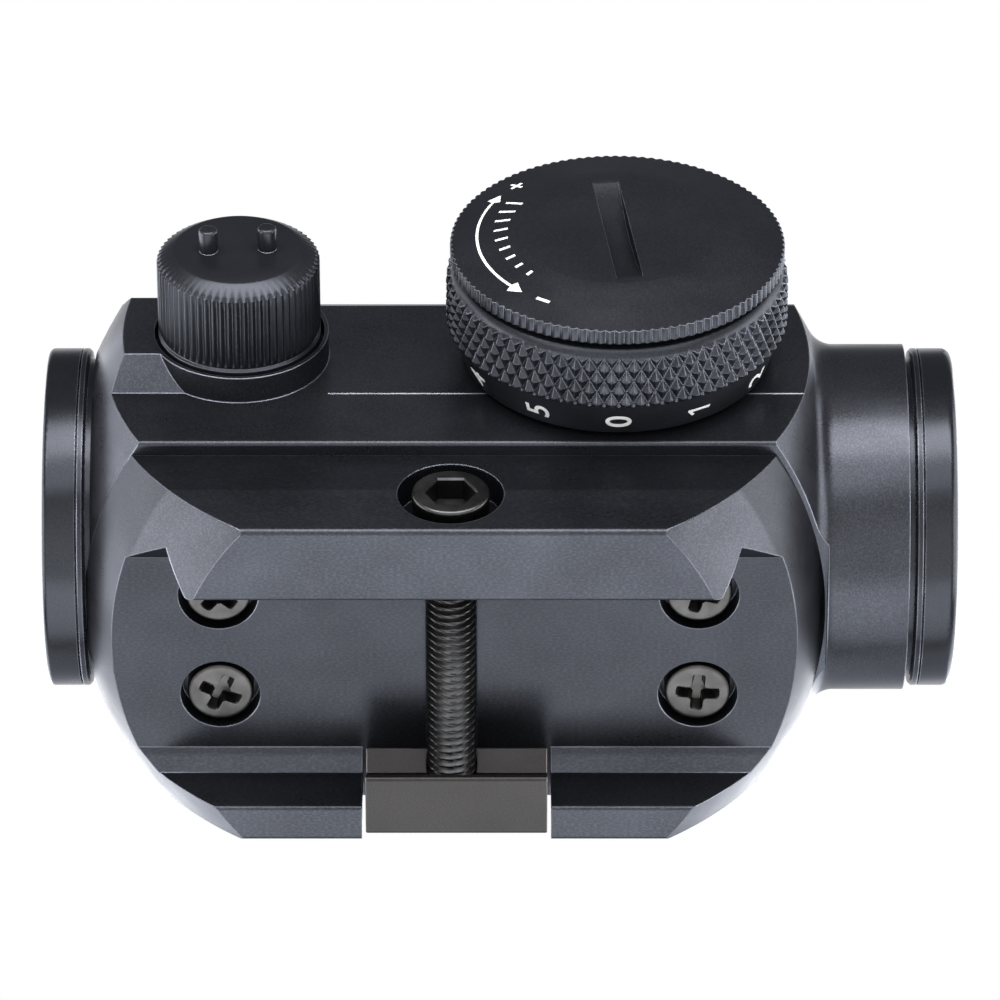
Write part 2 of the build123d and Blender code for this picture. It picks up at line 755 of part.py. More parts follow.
def make_switch_board():
    """Round circuit board in the housing's side."""
    return tube(post_r + post_clearance, board_r, board_x, board_x + board_thickness)


def make_wiper():
    """Contact plate under the dial with three fingers that sweep the board."""
    low = dial_floor_x - wiper_thickness
    plate = tube(post_r + running, wiper_r, low, dial_floor_x)
    board_top = board_x + board_thickness
    for step in range(3):
        finger = slab(wiper_path_r - finger_length / 2, wiper_path_r + finger_length / 2, -finger_width / 2,
                      finger_width / 2, board_top + face_gap, low)
        plate += Rot(0, 0, step * 120) * finger
    return plate


def make_battery_seat():
    """Insulating seat for the cell."""
    hole_r = shoulder_head_r + seat_hole_gap
    outer = dial_cup_r - running
    cell_r = battery_r + battery_clearance
    top = washer_x + seat_wall_height
    return turned((hole_r, washer_x), (outer, washer_x), (outer, top), (cell_r, top), (cell_r, battery_x),
                  (hole_r, battery_x))


def make_battery():
    """Coin cell."""
    foot_r = battery_r - battery_foot
    return turned((0, battery_x), (foot_r - 0.2, battery_x), (foot_r, battery_x + 0.25),
                  (battery_r, battery_x + 0.5), (battery_r, battery_top), (0, battery_top))


def make_battery_contact():
    """Dished contact under the cell."""
    low = shoulder_top + shoulder_head + face_gap
    rim_r = shoulder_head_r + seat_hole_gap
    return turned((0.6, battery_x - contact_thickness), (rim_r - 0.2, low), (rim_r, low),
                  (rim_r, low + contact_thickness), (0.9, battery_x), (0.6, battery_x))


def make_battery_cap():
    """Screwed cover with a coin slot."""
    spigot_r = dial_cup_r - post_clearance
    spigot_bore_r = spigot_r - cover_spigot_wall
    spigot_x = cover_x - cover_spigot
    roof = cover_x + cover_roof
    body = turned((spigot_bore_r, spigot_x), (spigot_r, spigot_x), (spigot_r, cover_x), (cover_r, cover_x),
                  (cover_r, cover_x + cover_edge), (cover_flat_r, cover_top_x), (0, cover_top_x), (0, roof),
                  (spigot_bore_r, roof))
    cutter_r = (slot_length ** 2 / 4 + slot_depth ** 2) / (2 * slot_depth)
    cutter = Pos(0, 0, cover_top_x + cutter_r - slot_depth) * Rot(0, 90, 0) * Cylinder(cutter_r, slot_width)
    return body - Rot(0, 0, 90 + slot_turn) * cutter


def make_cap_contact():
    """Spring contact under the battery cover."""
    low = battery_top + face_gap
    roof = cover_x + cover_roof
    under = roof - cover_contact
    return turned((2.0, low), (3.0, low), (6.0, under), (8.0, under), (8.0, roof), (5.9, roof),
                  (2.9, low + cover_contact), (2.0, low + cover_contact))


# ---- all pieces by name ----
def all_pieces():
    """Every separate piece in its place."""
    front = optical
    rear = Pos(0, 0, axis_height) * Rot(90, 0, 0)
    ball_top = dial_base_x - face_gap
    pieces = {
        "housing": make_housing(),
        "rail_base": make_base(),
        "base_screws": make_base_screws(),
        "clamp_block": make_clamp(),
        "cross_bolt": make_bolt(),
        "front_ring": front * make_ring(front_ring_round),
        "rear_ring": rear * make_ring(rear_ring_round),
        "front_window": front * window(),
        "rear_window": rear * window(),
        "front_gasket": front * gasket(),
        "rear_gasket": rear * gasket(),
        "pivot_ring": make_pivot_ring(),
        "inner_tube": make_inner_tube(),
        "doublet_rear": make_doublet_rear(),
        "doublet_front": make_doublet_front(),
        "lens_lock_ring": make_lock_ring(),
        "led_holder": led_block(led_y - led_holder_length, led_holder_length, led_holder_height),
        "led_board": led_block(led_y, led_board_thickness, led_board_height),
        "led_emitter": make_led_emitter(),
        "led_lead": lead_solid(lead_r),
        "return_spring": return_place() * coil(return_spring_r, return_wire_r, bore_r - return_wire_r,
                                               bore_r + spring_hole_depth, spring_turns),
        "detent_ball": detent_place() * Pos(0, 0, ball_top - detent_r) * Sphere(detent_r),
        "detent_spring": detent_place() * coil(detent_spring_r, detent_wire_r, flat_x - detent_depth,
                                               ball_top - 2 * detent_r, spring_turns),
        "dial_ring": dial * make_dial_ring(),
        "dial_pivot": dial * make_dial_pivot(),
        "wave_washer": dial * make_wave_washer(),
        "switch_board": dial * make_switch_board(),
        "wiper_contact": dial * make_wiper(),
        "battery_seat": dial * make_battery_seat(),
        "battery": dial * make_battery(),
        "battery_contact": dial * make_battery_contact(),
        "battery_cap": dial * make_battery_cap(),
        "battery_cap_seal": dial * seal_ring(dial_cup_r + cover_seal_r + running, (dial_top_x + cover_x) / 2,
                                             cover_seal_r),
        "cap_contact": dial * make_cap_contact(),
        "click_balls": Compound(children=[windage * click_ball(windage_seat),
                                          elevation * click_ball(elevation_seat)]),
        "click_springs": Compound(children=[windage * click_spring(windage_seat),
                                            elevation * click_spring(elevation_seat)]),
    }
    for name, place, seat in (("windage", windage, windage_seat), ("elevation", elevation, elevation_seat)):
        pieces[name + "_bush"] = place * make_bush(seat)
        pieces[name + "_drum"] = place * make_drum(seat)
        pieces[name + "_pin"] = place * make_pin(seat)
        pieces[name + "_cap"] = place * make_cap(seat)
        pieces[name + "_cap_seal"] = place * make_cap_seal(seat)
    return pieces


os.makedirs("parts", exist_ok=True)
for node, shape in all_pieces().items():
    export_step(shape, "parts/" + node + ".step")
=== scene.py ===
import json
import math
import bmesh
import bpy
import numpy as np
from mathutils import Matrix, Vector


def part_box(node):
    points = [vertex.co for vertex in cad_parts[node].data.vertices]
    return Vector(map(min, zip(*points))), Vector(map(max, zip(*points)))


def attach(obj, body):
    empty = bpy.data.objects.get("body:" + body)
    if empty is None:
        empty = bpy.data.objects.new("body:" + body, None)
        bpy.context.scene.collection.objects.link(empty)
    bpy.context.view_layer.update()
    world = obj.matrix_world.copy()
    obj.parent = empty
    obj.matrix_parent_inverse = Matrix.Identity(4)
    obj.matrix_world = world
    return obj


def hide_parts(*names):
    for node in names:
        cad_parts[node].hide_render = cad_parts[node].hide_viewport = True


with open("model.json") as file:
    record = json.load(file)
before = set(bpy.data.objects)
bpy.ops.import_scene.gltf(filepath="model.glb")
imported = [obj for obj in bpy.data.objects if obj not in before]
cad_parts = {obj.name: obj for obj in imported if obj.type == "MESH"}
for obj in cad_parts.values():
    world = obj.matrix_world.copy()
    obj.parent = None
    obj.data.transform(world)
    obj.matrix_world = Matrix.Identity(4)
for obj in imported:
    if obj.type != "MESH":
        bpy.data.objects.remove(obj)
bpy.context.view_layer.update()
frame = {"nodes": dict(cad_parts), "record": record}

# Micro red dot sight: finishes, cut knurls, threads, numerals, light and camera. Metres, in the frame's axes.
MM = 0.001
scene = bpy.context.scene


# ---- places, read from the frame ----
def middle(node):
    """Centre of a CAD node's box."""
    low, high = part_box(node)
    return [(a + b) / 2 for a, b in zip(low, high)]


axis_z = middle("front_ring")[2]
dial_y = middle("dial_ring")[1]
turret_y = middle("windage_cap")[1]
bolt_y, bolt_z = middle("cross_bolt")[1:]
TO_X = np.array([[0, 0, 1], [0, 1, 0], [-1, 0, 0]], float)      # local +Z becomes +X
TO_Z = np.eye(3)
TO_DOWN = np.array([[1, 0, 0], [0, -1, 0], [0, 0, -1]], float)  # local +Z becomes -Z

# ---- cones that carry marks, as (radius, height) in millimetres from the optical axis ----
SKIRT_FOOT, SKIRT_TOP = (12.4, 16.42), (13.26, 18.98)           # dial's numbered skirt
COVER_FLAT, COVER_RIM = (8.1, 27.7), (13.15, 26.495)            # battery cover's rim
MARK_STAND = 0.012                                              # a mark's half thickness


# ---- mesh making ----
def placed(points, turn, centre):
    """Local millimetres, turned and moved to a centre in metres."""
    return points @ turn.T * MM + np.array(centre)


def lathe(rows, columns, ends):
    """Surface of revolution about +Z in millimetres: row k is (radius, height), and each is a number or an
    array over the angle. The point at angle t is (radius cos t, radius sin t, height)."""
    angle = np.arange(columns) * 2 * math.pi / columns
    radius = np.array([np.broadcast_to(np.asarray(r, float), columns) for r, _ in rows])
    height = np.array([np.broadcast_to(np.asarray(h, float), columns) for _, h in rows])
    grid = np.stack([radius * np.cos(angle), radius * np.sin(angle), height], axis=-1)
    return skin(grid, ends)


def skin(grid, ends):
    """Vertices and faces of a grid whose columns close on themselves. ends is "ring" when the last row
    joins the first, or "poles" when the mean of the first and last rows closes each end."""
    rows, columns = grid.shape[:2]
    vertices = grid.reshape(-1, 3)
    last = rows if ends == "ring" else rows - 1
    r, c = np.meshgrid(np.arange(last), np.arange(columns), indexing="ij")
    after, side = (r + 1) % rows, (c + 1) % columns
    quads = np.stack([r * columns + c, r * columns + side, after * columns + side, after * columns + c], -1)
    faces = quads.reshape(-1, 4).tolist()
    if ends == "poles":
        poles = np.stack([grid[0].mean(0), grid[-1].mean(0)])
        first, final = len(vertices), len(vertices) + 1
        vertices = np.vstack([vertices, poles])
        ring = np.arange(columns)
        following = (ring + 1) % columns
        top = (rows - 1) * columns
        faces += np.stack([following, ring, np.full(columns, first)], -1).tolist()
        faces += np.stack([top + ring, top + following, np.full(columns, final)], -1).tolist()
    return vertices, faces


def joined(*shells):
    """Several shells as one list of vertices and faces."""
    vertices, faces, start = [], [], 0
    for points, polygons in shells:
        vertices.append(points)
        faces += [[start + i for i in polygon] for polygon in polygons]
        start += len(points)
    return np.vstack(vertices), faces


def make_mesh(name, vertices, faces, sharp=32):
    """Mesh with outward faces, smooth but for edges sharper than an angle in degrees."""
    mesh = bpy.data.meshes.new(name)
    mesh.from_pydata(vertices.tolist(), [], faces)
    work = bmesh.new()
    work.from_mesh(mesh)
    bmesh.ops.recalc_face_normals(work, faces=work.faces)
    work.to_mesh(mesh)
    work.free()
    mesh.shade_smooth()
    mesh.set_sharp_from_angle(angle=math.radians(sharp))
    return mesh


def add_piece(name, mesh, body, material, stands_for=()):
    """New piece that rides on a body and may stand for CAD nodes."""
    piece = bpy.data.objects.new(name, mesh)
    scene.collection.objects.link(piece)
    mesh.materials.clear()
    mesh.materials.append(material)
    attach(piece, body)
    if stands_for:
        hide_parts(*stands_for)
    return piece


def cut_away(mesh, cutter):
    """The mesh less a cutter, by an exact boolean, as a new mesh."""
    target = bpy.data.objects.new("cut_target", mesh)
    tool = bpy.data.objects.new("cut_tool", cutter)
    for item in (target, tool):
        scene.collection.objects.link(item)
    boolean = target.modifiers.new("slot", "BOOLEAN")
    boolean.operation, boolean.solver, boolean.object = "DIFFERENCE", "EXACT", tool
    result = bpy.data.meshes.new_from_object(target.evaluated_get(bpy.context.evaluated_depsgraph_get()))
    for item in (target, tool):
        bpy.data.objects.remove(item)
    result.shade_smooth()
    result.set_sharp_from_angle(angle=math.radians(32))
    return result


def refined(node, body, material, sharp=28):
    """Welded copy of a CAD node's mesh with flat faces made whole, and normals led by the larger faces."""
    mesh = frame["nodes"][node].data.copy()
    work = bmesh.new()
    work.from_mesh(mesh)
    bmesh.ops.remove_doubles(work, verts=work.verts, dist=2e-6)
    bmesh.ops.dissolve_limit(work, angle_limit=math.radians(0.4), verts=work.verts, edges=work.edges,
                             delimit={"NORMAL"})
    bmesh.ops.triangulate(work, faces=work.faces)
    work.to_mesh(mesh)
    work.free()
    if mesh.has_custom_normals:
        mesh.attributes.remove(mesh.attributes["custom_normal"])
    mesh.shade_smooth()
    mesh.set_sharp_from_angle(angle=math.radians(sharp))
    piece = add_piece(node + "_smooth", mesh, body, material, (node,))
    weighted = piece.modifiers.new("normals", "WEIGHTED_NORMAL")
    weighted.mode, weighted.keep_sharp, weighted.weight = "FACE_AREA", True, 100
    return piece


# ---- materials ----
class Sock:
    """An output socket; arithmetic with numbers or other sockets adds Math nodes."""

    def __init__(self, finish, socket):
        self.finish, self.socket = finish, socket

    def math(self, operation, first, second=0.0):
        return self.finish.node("ShaderNodeMath", {"operation": operation}, {0: first, 1: second})

    def __add__(self, other):
        return self.math("ADD", self, other)

    def __radd__(self, other):
        return self.math("ADD", other, self)

    def __sub__(self, other):
        return self.math("SUBTRACT", self, other)

    def __rsub__(self, other):
        return self.math("SUBTRACT", other, self)

    def __mul__(self, other):
        return self.math("MULTIPLY", self, other)

    def __rmul__(self, other):
        return self.math("MULTIPLY", other, self)

    def clipped(self, low, high):
        """Runs from 0 at low to 1 at high, and stays there."""
        return self.finish.node("ShaderNodeMapRange", {"clamp": True},
                                {"Value": self, "From Min": low, "From Max": high})


class Finish:
    """A material with one Principled shader, and a method that adds any node."""

    def __init__(self, name, **constants):
        self.material = bpy.data.materials.new(name)
        self.material.use_nodes = True
        self.tree = self.material.node_tree
        self.shader = self.tree.nodes["Principled BSDF"]
        for key, value in constants.items():
            self.shader.inputs[key.replace("_", " ")].default_value = value

    def node(self, kind, settings=None, inputs=None, output=0):
        """Adds a node: settings first, then a value or a link for each named or numbered input."""
        made = self.tree.nodes.new(kind)
        for key, value in (settings or {}).items():
            setattr(made, key, value)
        for key, value in (inputs or {}).items():
            if isinstance(value, Sock):
                self.tree.links.new(value.socket, made.inputs[key])
            else:
                made.inputs[key].default_value = value
        return Sock(self, made.outputs[output])

    def place(self):
        """Object coordinates, in metres."""
        return self.node("ShaderNodeTexCoord", output="Object")

    def height(self):
        """Height above the frame's origin, in metres."""
        return self.node("ShaderNodeSeparateXYZ", inputs={"Vector": self.place()}, output="Z")

    def noise(self, size, detail=3.0, stretch=(1, 1, 1)):
        """Noise with features about size millimetres across, stretched along an axis where below 1."""
        scaled = self.node("ShaderNodeMapping", inputs={"Vector": self.place(), "Scale": stretch})
        return self.node("ShaderNodeTexNoise", inputs={"Vector": scaled, "Scale": 1 / (size * MM),
                                                       "Detail": detail})

    def blend(self, factor, first, second):
        """Colour between two colours."""
        return self.node("ShaderNodeMix", {"data_type": "RGBA"}, {"Factor": factor, "A": first, "B": second},
                         output="Result")

    def feed(self, **links):
        """Links sockets into the shader."""
        for key, value in links.items():
            self.tree.links.new(value.socket, self.shader.inputs[key.replace("_", " ")])

    def rounded(self, radius):
        """Normal over edges that are broken by a radius in millimetres."""
        return self.node("ShaderNodeBevel", {"samples": 6}, {"Radius": radius * MM})

    def edge_wear_and_highlight(self, rounded):
        """Near 1 along edges, for wear and a painted highlight: one less the cosine between the surface's
        normal and the rounded one.
        """
        flat = self.node("ShaderNodeNewGeometry", output="Normal")
        cosine = self.node("ShaderNodeVectorMath", {"operation": "DOT_PRODUCT"}, {0: flat, 1: rounded},
                           output="Value")
        return (1 - cosine).clipped(0.004, 0.09)

    def bump(self, height, depth, normal=None):
        """Bump of a depth in millimetres, over the surface's normal or another one."""
        inputs = {"Height": height, "Distance": depth * MM, "Strength": 1.0}
        if normal:
            inputs["Normal"] = normal
        return self.node("ShaderNodeBump", inputs=inputs, output="Normal")


def colour(value, tint=(1.0, 1.0, 1.0)):
    """Grey of a value with a tint."""
    return (value * tint[0], value * tint[1], value * tint[2], 1.0)


def anodised(name, dark=0.027, light=0.058, rough=0.30, grain=0.0024, tint=(0.90, 0.95, 1.12),
             streak=(1, 1, 1), edge=0.16, painted_shade_above=None):
    """Black anodised, fine-blasted aluminium: small bright specks, cloudy dye, and handling wear in the
    sheen. Along the edges the colour turns lighter, partly handling wear and partly a painted highlight.
    Above a height in millimetres, if one is given, the colour is darker: painted shade."""
    finish = Finish(name, Metallic=0.85, Specular_IOR_Level=0.5, Specular_Tint=colour(0.5, (1.0, 1.02, 1.06)))
    cloud = finish.noise(9.0, 2.0)
    speck = finish.noise(0.15, 2.0, streak)
    rub = finish.noise(2.6, 5.0, (1, 0.35, 1))
    mix = cloud.clipped(0.35, 0.7) * 0.4 + speck.clipped(0.42, 0.72) * 0.6
    dyed_and_shaded = finish.blend(mix, colour(dark, tint), colour(light, tint))
    if painted_shade_above:
        # Painted shade: above the given height the colour is pulled towards a deeper black.
        painted_shade = finish.height().clipped(painted_shade_above * MM, (painted_shade_above + 0.3) * MM) * 0.45
        dyed_and_shaded = finish.blend(painted_shade, dyed_and_shaded, colour(dark * 0.4, tint))
    rounded = finish.rounded(edge)
    # Lighter colour along edges, broken up by the rub noise: partly handling wear, partly a painted
    # highlight.
    wear_and_highlight = finish.edge_wear_and_highlight(rounded) * rub.clipped(0.1, 0.6) * 0.9
    finish.feed(Base_Color=finish.blend(wear_and_highlight, dyed_and_shaded, colour(0.25, tint)))
    finish.feed(Roughness=rough - 0.05 + rub.clipped(0.3, 0.75) * 0.08 + speck.clipped(0.3, 0.8) * 0.05)
    finish.feed(Normal=finish.bump(speck, grain, rounded))
    return finish.material


def steel(name, value, rough, tint):
    """Machined steel with fine tool marks and light staining."""
    finish = Finish(name, Metallic=1.0)
    marks = finish.noise(0.12, 3.0, (1, 1, 0.3))
    stain = finish.noise(1.5, 4.0)
    stained = finish.blend(stain.clipped(0.35, 0.7), colour(value, tint), colour(value * 0.6, tint))
    finish.feed(Base_Color=stained)
    finish.feed(Roughness=rough + marks.clipped(0.3, 0.7) * 0.10)
    finish.feed(Normal=finish.bump(marks, 0.002))
    return finish.material


def plain(name, value, rough, tint=(1, 1, 1), grain=0.003, size=0.2):
    """Moulded, rubber or painted surface with a soft grain."""
    finish = Finish(name, Metallic=0.0)
    fine = finish.noise(size, 3.0)
    cloud = finish.noise(size * 12, 2.0)
    clouded = finish.blend(cloud.clipped(0.3, 0.7), colour(value, tint), colour(value * 0.8, tint))
    finish.feed(Base_Color=clouded)
    finish.feed(Roughness=rough + fine.clipped(0.3, 0.7) * 0.08)
    finish.feed(Normal=finish.bump(fine, grain))
    return finish.material


def glass(name, tint, ior, coat_tint):
    """Polished glass with faint wiping marks in its gloss."""
    finish = Finish(name, Transmission_Weight=1.0, IOR=ior, Specular_Tint=coat_tint)
    wipe = finish.noise(3.0, 4.0, (0.3, 1, 1))
    finish.feed(Base_Color=finish.blend(wipe.clipped(0.2, 0.9), colour(1.0, tint), colour(0.97, tint)))
    finish.feed(Roughness=wipe.clipped(0.5, 0.9) * 0.02)
    return finish.material


MATERIALS = {
    "body_anodised": anodised("body_anodised"),
    "base_anodised": anodised("base_anodised", 0.028, 0.056, 0.30, streak=(1, 0.5, 1), painted_shade_above=-0.6),
    "clamp_anodised": anodised("clamp_anodised", 0.022, 0.032, 0.31, tint=(1.07, 1.0, 0.97)),
    "ring_anodised": anodised("ring_anodised", 0.024, 0.034, 0.25, 0.0012),
    "dial_anodised": anodised("dial_anodised", 0.028, 0.048, 0.34, 0.003, edge=0.08),
    "cap_anodised": anodised("cap_anodised", 0.030, 0.044, 0.32, 0.0016, edge=0.06),
    "black_steel": steel("black_steel", 0.07, 0.28, (1.0, 0.99, 1.0)),
    "screw_steel": steel("screw_steel", 0.065, 0.32, (1.05, 1.0, 0.97)),
    "bare_steel": steel("bare_steel", 0.62, 0.22, (1, 1, 1)),
    "cell_steel": steel("cell_steel", 0.68, 0.18, (1, 1, 1)),
    "bare_brass": steel("bare_brass", 0.70, 0.24, (1.0, 0.78, 0.40)),
    "contact_gold": steel("contact_gold", 0.85, 0.2, (1.0, 0.76, 0.36)),
    "window_glass": glass("window_glass", (0.97, 1.0, 0.99), 1.5, (0.8, 0.75, 1.0, 1.0)),
    "coated_glass": glass("coated_glass", (0.80, 1.0, 1.0), 1.8, (1.0, 0.30, 0.22, 1.0)),
    "seal_rubber": plain("seal_rubber", 0.018, 0.6),
    "matt_black": plain("matt_black", 0.010, 0.75),
    "seat_plastic": plain("seat_plastic", 0.03, 0.45),
    "board_green": plain("board_green", 0.05, 0.40, (0.2, 1.0, 0.4), 0.001),
    "lead_red": plain("lead_red", 0.5, 0.4, (1.0, 0.08, 0.06), 0.001),
    "white_ink": plain("white_ink", 0.62, 0.5, (1.0, 1.0, 0.99), 0.002, 0.1),
}


def emitter():
    """Clear red emitter."""
    finish = Finish("emitter_red", Metallic=0.0, Emission_Strength=1.5, Transmission_Weight=0.3)
    haze = finish.noise(0.3, 2.0)
    finish.feed(Base_Color=finish.blend(haze, (0.8, 0.05, 0.03, 1), (0.6, 0.02, 0.02, 1)))
    finish.feed(Emission_Color=finish.blend(haze, (1.0, 0.05, 0.02, 1), (0.8, 0.02, 0.01, 1)))
    return finish.material


MATERIALS["emitter_red"] = emitter()


def finish_cad_nodes():
    """Gives every CAD node the material of its slot."""
    for part in frame["record"]["subparts"]:
        mesh = frame["nodes"][part["node"]].data
        mesh.materials.clear()
        mesh.materials.append(MATERIALS[part["material_slot"]])


# ---- camera, floor and light ----
def look(position, direction, up):
    """Matrix at a position whose -Z looks along a direction, with +Y towards up."""
    back = -Vector(direction).normalized()
    right = Vector(up).cross(back).normalized()
    turn = Matrix((right, back.cross(right), back)).transposed()
    return Matrix.Translation(position) @ turn.to_4x4()


def make_camera():
    """Long lens below and to the dial side, with the optical axis across the view."""
    tilt, distance, rise = math.radians(33.8), 0.635, 1.35 * MM
    back = Vector((math.sin(tilt), 0, -math.cos(tilt)))
    up = Vector((math.cos(tilt), 0, math.sin(tilt)))
    aim = Vector((0, 0, axis_z)) + up * rise
    data = bpy.data.cameras.new("camera")
    data.lens, data.sensor_width = 278.9, 36.0
    data.clip_start, data.clip_end = 0.05, 20.0
    camera = bpy.data.objects.new("camera", data)
    camera.matrix_world = look(aim + back * distance, -back, up)
    scene.collection.objects.link(camera)
    scene.camera = camera


def make_floor():
    """Wide pale floor, far below so that the underside can be seen."""
    half, depth, points = 8.0, 0.62, 9
    span = np.linspace(-half, half, points)
    x, y = np.meshgrid(span, span, indexing="ij")
    grid = np.stack([x, y, np.full_like(x, -depth)], -1).reshape(-1, 3)
    r, c = np.meshgrid(np.arange(points - 1), np.arange(points - 1), indexing="ij")
    near, far = r * points + c, (r + 1) * points + c
    faces = np.stack([near, far, far + 1, near + 1], -1).reshape(-1, 4)
    mesh = bpy.data.meshes.new("floor")
    mesh.from_pydata(grid.tolist(), [], faces.tolist())
    mesh.materials.append(plain("floor_paint", 0.9, 0.7, grain=0.0, size=200))
    floor = bpy.data.objects.new("floor", mesh)
    scene.collection.objects.link(floor)


def softbox(name, towards, distance, width, height, strength, tint=(1, 1, 1)):
    """Rectangular soft light in a direction from the sight, aimed back at it."""
    data = bpy.data.lights.new(name, "AREA")
    data.shape, data.size, data.size_y = "RECTANGLE", width, height
    data.energy, data.color = strength * width * height * math.pi, tint
    light = bpy.data.objects.new(name, data)
    light.visible_camera = False
    centre = Vector((0, 0, axis_z))
    place = centre + Vector(towards).normalized() * distance
    light.matrix_world = look(place, centre - place, (0, 0, 1))
    scene.collection.objects.link(light)


def round_y(degrees):
    """Direction across the sight, turned from +X towards -Z."""
    return (math.cos(math.radians(degrees)), 0, -math.sin(math.radians(degrees)))


def make_light():
    """Light tent. Round the optical axis: a bright strip beside the dial, a dim box below it, one below and
    behind, one behind, and one above and behind. A tall box stands at either end, with one
    more between it and the back. The way up from the dial stays dark."""
    world = bpy.data.worlds.new("studio")
    world.use_nodes = True
    tree = world.node_tree
    background = tree.nodes["Background"]
    seen = tree.nodes.new("ShaderNodeBackground")
    seen.inputs["Color"].default_value = (1, 1, 1, 1)
    background.inputs["Color"].default_value = (0.31, 0.305, 0.322, 1)
    ray = tree.nodes.new("ShaderNodeLightPath")
    mix = tree.nodes.new("ShaderNodeMixShader")
    tree.links.new(ray.outputs["Is Camera Ray"], mix.inputs[0])
    tree.links.new(background.outputs[0], mix.inputs[1])
    tree.links.new(seen.outputs[0], mix.inputs[2])
    tree.links.new(mix.outputs[0], tree.nodes["World Output"].inputs["Surface"])
    scene.world = world
    softbox("side_strip", round_y(3), 0.6, 0.9, 0.26, 11.0)
    softbox("side_low", round_y(29), 0.6, 0.9, 0.20, 3.6, (0.95, 0.97, 1.0))
    softbox("low_back", round_y(124), 0.5, 0.7, 0.42, 2.8, (0.91, 0.96, 1.0))
    softbox("back", round_y(185), 0.6, 1.3, 0.6, 1.5, (0.95, 0.97, 1.0))
    softbox("top_back", round_y(236), 0.6, 0.8, 0.6, 1.1)
    for side, end in ((1, "front"), (-1, "rear")):
        softbox(end + "_end", (-0.05, side, 0.08), 0.6, 0.55, 0.8, 6.2)
        softbox(end + "_quarter", (-0.55, side * 0.65, 0.5), 0.6, 0.55, 0.6, 5.0)


# ---- brightness dial ----
def diamond(angle, height, around, pitch):
    """Diamond knurl from 0 in the valleys to 1 at the points: one less twice the larger distance from the
    nearest pyramid's centre, in the two slanting directions."""
    first = around * angle / (2 * math.pi) + height / pitch
    second = around * angle / (2 * math.pi) - height / pitch
    a = np.abs(first - np.round(first))
    b = np.abs(second - np.round(second))
    return np.minimum(1.0, 1.25 * (1 - 2 * np.maximum(a, b)))


def make_dial():
    """Dial ring: cup and skirt as turned steps, the band between them cut by the knurl and by the bevel."""
    around, pitch, columns = 72, 2.08, 72 * 10
    crest, root, band_low, band_high, top = 13.75, 13.32, 19.32, 24.06, 24.6
    foot_slope = 1.5
    angle = np.arange(columns) * 2 * math.pi / columns
    rows = [(2.05, 15.85), (3.0, 15.85), (3.0, 17.4), (11.0, 17.4), (11.0, 16.42), (11.12, 16.3),
            (12.25, 16.3), SKIRT_FOOT, SKIRT_TOP, (13.28, 19.12)]
    for height in np.linspace(band_low, band_high, 46):
        cone = crest - (height - (band_high - (crest - root)))
        foot = root + (height - band_low) * foot_slope
        knurl = root + (crest - root) * diamond(angle, height, around, pitch)
        rows.append((np.minimum(np.minimum(knurl, cone), np.maximum(foot, root)), height))
    rows += [(13.30, 24.12), (12.95, 24.52), (12.82, top), (11.1, top), (11.0, top - 0.1), (11.0, 18.6),
             (2.05, 18.6)]
    vertices, faces = lathe(rows, columns, "ring")
    mesh = make_mesh("dial_ring_cut", placed(vertices, TO_X, (0, dial_y, axis_z)), faces)
    add_piece("dial_ring_cut", mesh, "dial", MATERIALS["dial_anodised"], ("dial_ring",))


def make_battery_cap():
    """Cover with a fine coin edge, a coned rim and a slot cut by a round cutter."""
    flutes, columns = 112, 112 * 6
    angle = np.arange(columns) * 2 * math.pi / columns
    edge = 13.42 - 0.17 * (0.5 - 0.5 * np.cos(flutes * angle)) ** 1.5
    (flat_r, top), (rim_r, rim_height) = COVER_FLAT, COVER_RIM
    rim = rim_height - 0.045
    rows = [(10.1, 22.75), (10.9, 22.75), (10.9, 25.15), (12.9, 25.15), (13.2, 25.2), (edge - 0.05, 25.28),
            (edge, 25.34), (edge, rim - 0.06), (edge - 0.04, rim), COVER_RIM]
    shares = (0.02, 0.25, 0.5, 0.75)
    rows += [(rim_r + (flat_r - rim_r) * k, rim_height + (top - rim_height) * k) for k in shares]
    rows += [(flat_r + 0.03, top - 0.006), (flat_r - 0.05, top), (6.0, top), (3.0, top), (0.4, top)]
    rows = [(0.4, 25.45), (10.1, 25.45)] + rows
    vertices, faces = lathe(rows, columns, "poles")
    body = make_mesh("cover_body", vertices, faces)
    length, width, depth = 14.6, 2.1, 1.3
    radius = (length ** 2 / 4 + depth ** 2) / (2 * depth)
    half, break_r = width / 2, 0.01
    disc, polygons = lathe([(radius - break_r, -half), (radius, break_r - half), (radius, half - break_r),
                            (radius - break_r, half)], 256, "poles")
    lean = math.radians(90 + 7)
    spin = np.array([[math.cos(lean), -math.sin(lean), 0], [math.sin(lean), math.cos(lean), 0], [0, 0, 1]])
    disc = disc @ TO_X.T @ spin.T + np.array([0, 0, top + radius - depth])
    mesh = cut_away(body, make_mesh("cover_slot", disc, polygons))
    points = np.empty(len(mesh.vertices) * 3)
    mesh.vertices.foreach_get("co", points)
    mesh.vertices.foreach_set("co", placed(points.reshape(-1, 3), TO_X, (0, dial_y, axis_z)).ravel())
    mesh.update()
    add_piece("battery_cap_cut", mesh, "battery_cover", MATERIALS["dial_anodised"],
              ("battery_cap",))


